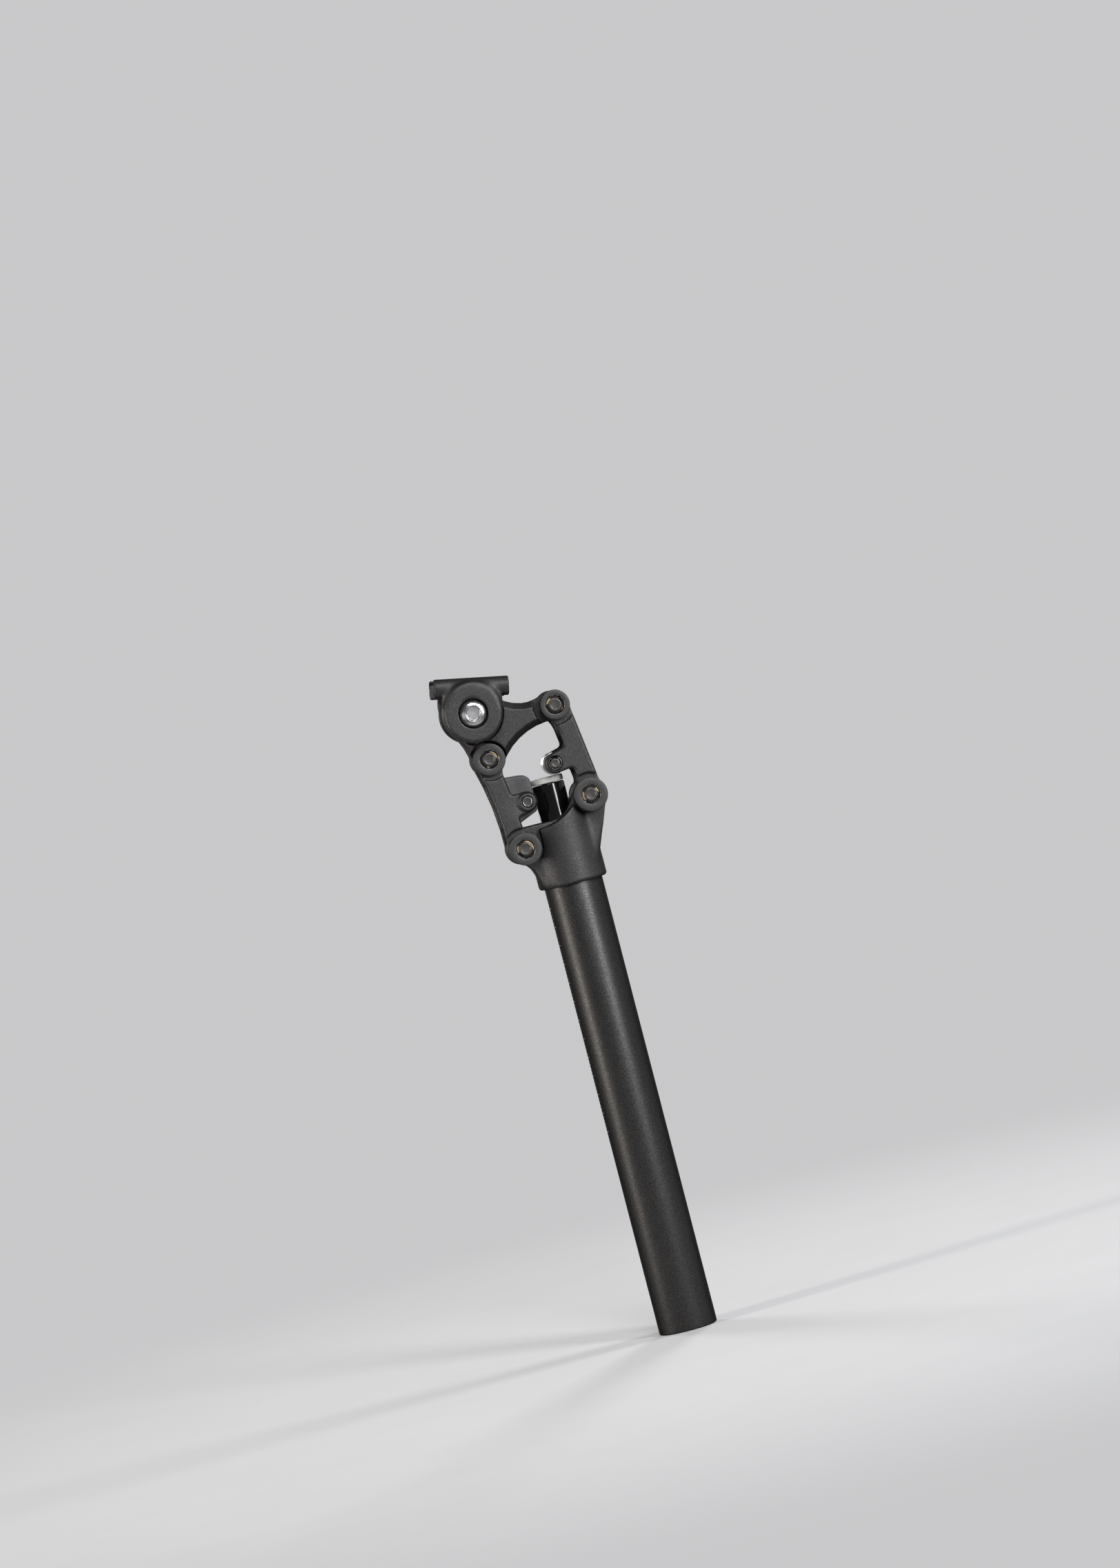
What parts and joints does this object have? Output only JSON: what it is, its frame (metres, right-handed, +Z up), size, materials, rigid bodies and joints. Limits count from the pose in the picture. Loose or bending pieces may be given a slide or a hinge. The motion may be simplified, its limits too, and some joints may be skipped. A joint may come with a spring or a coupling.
{
  "type": "suspension seatpost",
  "caption": "Bicycle seatpost with a sprung parallelogram linkage, roller and plunger between its round tube and a rail clamp for the saddle.",
  "frame": {"origin": "centre of the tube's lower end", "axes": "+Z up along the tube's axis, +X to the front of the bicycle, +Y to its left"},
  "size_m": [0.0753, 0.0594, 0.3605],
  "materials": {
    "cast_black": "matte black powder coat with a fine sandy grain",
    "tube_black": "satin black anodised",
    "gloss_black": "gloss black",
    "white_plastic": "off-white, satin",
    "bright_steel": "bright turned",
    "dark_steel": "dark turned",
    "ring_steel": "tempered spring steel",
    "rubber": "smooth moulded",
    "bronze": "plain bearing",
    "spring_steel": "drawn wire",
    "nylon": "moulded"
  },
  "bodies": {
    "post": {"post_tube": "tube_black", "lower_bracket": "cast_black", "guide_bush": "nylon", "coil_spring": "spring_steel", "lower_front_bush_left": "bronze", "lower_front_bush_right": "bronze", "lower_rear_bush_left": "bronze", "lower_rear_bush_right": "bronze"},
    "rear_link": {"rear_link": "cast_black", "bumper": "rubber", "bumper_pin": "dark_steel", "lower_rear_axle": "dark_steel", "lower_rear_cap_left": "cast_black", "lower_rear_cap_right": "cast_black", "lower_rear_ring_left": "ring_steel", "lower_rear_ring_right": "ring_steel", "upper_rear_axle": "dark_steel", "upper_rear_cap_left": "cast_black", "upper_rear_cap_right": "cast_black", "upper_rear_ring_left": "ring_steel", "upper_rear_ring_right": "ring_steel"},
    "front_link": {"front_link": "cast_black", "roller_pin": "dark_steel", "roller_clip_left": "dark_steel", "roller_clip_right": "dark_steel", "lower_front_axle": "dark_steel", "lower_front_cap_left": "cast_black", "lower_front_cap_right": "cast_black", "lower_front_ring_left": "ring_steel", "lower_front_ring_right": "ring_steel", "upper_front_axle": "dark_steel", "upper_front_cap_left": "cast_black", "upper_front_cap_right": "cast_black", "upper_front_ring_left": "ring_steel", "upper_front_ring_right": "ring_steel"},
    "head": {"head": "cast_black", "upper_front_bush_left": "bronze", "upper_front_bush_right": "bronze", "upper_rear_bush_left": "bronze", "upper_rear_bush_right": "bronze"},
    "saddle_clamp": {"inner_cradle_left": "cast_black", "inner_cradle_right": "cast_black", "outer_clamp_left": "cast_black", "outer_clamp_right": "cast_black", "clamp_bolt": "bright_steel", "clamp_nut": "bright_steel"},
    "plunger": {"plunger": "gloss_black", "plunger_cap": "white_plastic"},
    "roller": {"roller": "bright_steel"},
    "spring_seat": {"spring_seat": "dark_steel"},
    "preload_plug": {"preload_plug": "nylon"}
  },
  "joints": [
    {"name": "rear_link_swing", "type": "hinge", "parent": "post", "child": "rear_link", "pos_m": [-0.0209, 0, 0.2637], "axis": [0, -1, 0], "range_deg": [0, 55], "stiffness_Nm_per_rad": 34, "springref_deg": -3.55},
    {"name": "front_link_swing", "type": "hinge", "parent": "post", "child": "front_link", "pos_m": [0.0191, 0, 0.2827], "axis": [0, -1, 0], "range_deg": [0, 55]},
    {"name": "head_level", "type": "hinge", "parent": "rear_link", "child": "head", "pos_m": [-0.02743, 0, 0.31327], "axis": [0, -1, 0], "range_deg": [-55, 0]},
    {"name": "plunger_slide", "type": "slide", "parent": "post", "child": "plunger", "axis": [0, 0, -1], "range_m": [0, 0.0202], "deforming": ["coil_spring"]},
    {"name": "roller_spin", "type": "hinge", "parent": "front_link", "child": "roller", "pos_m": [0.00521, 0, 0.3029], "axis": [0, 1, 0], "continuous": true},
    {"name": "saddle_tilt", "type": "hinge", "parent": "head", "child": "saddle_clamp", "pos_m": [-0.03, 0, 0.3384], "axis": [0, -1, 0], "range_deg": [-12, 12]},
    {"name": "preload_rise", "type": "slide", "parent": "post", "child": "spring_seat", "axis": [0, 0, 1], "range_m": [0, 0.006], "deforming": ["coil_spring"]},
    {"name": "preload_turn", "type": "hinge", "parent": "spring_seat", "child": "preload_plug", "pos_m": [0, 0, 0.002], "axis": [0, 0, 1], "range_deg": [0, 1080]}
  ],
  "couplings": [
    {"joint": "front_link_swing", "follows": "rear_link_swing", "ratio": 1},
    {"joint": "head_level", "follows": "rear_link_swing", "ratio": -1},
    {"joint": "plunger_slide", "follows": "rear_link_swing", "m_per_rad": 0.0209},
    {"joint": "preload_rise", "follows": "preload_turn", "m_per_rad": 0.00031831}
  ]
}
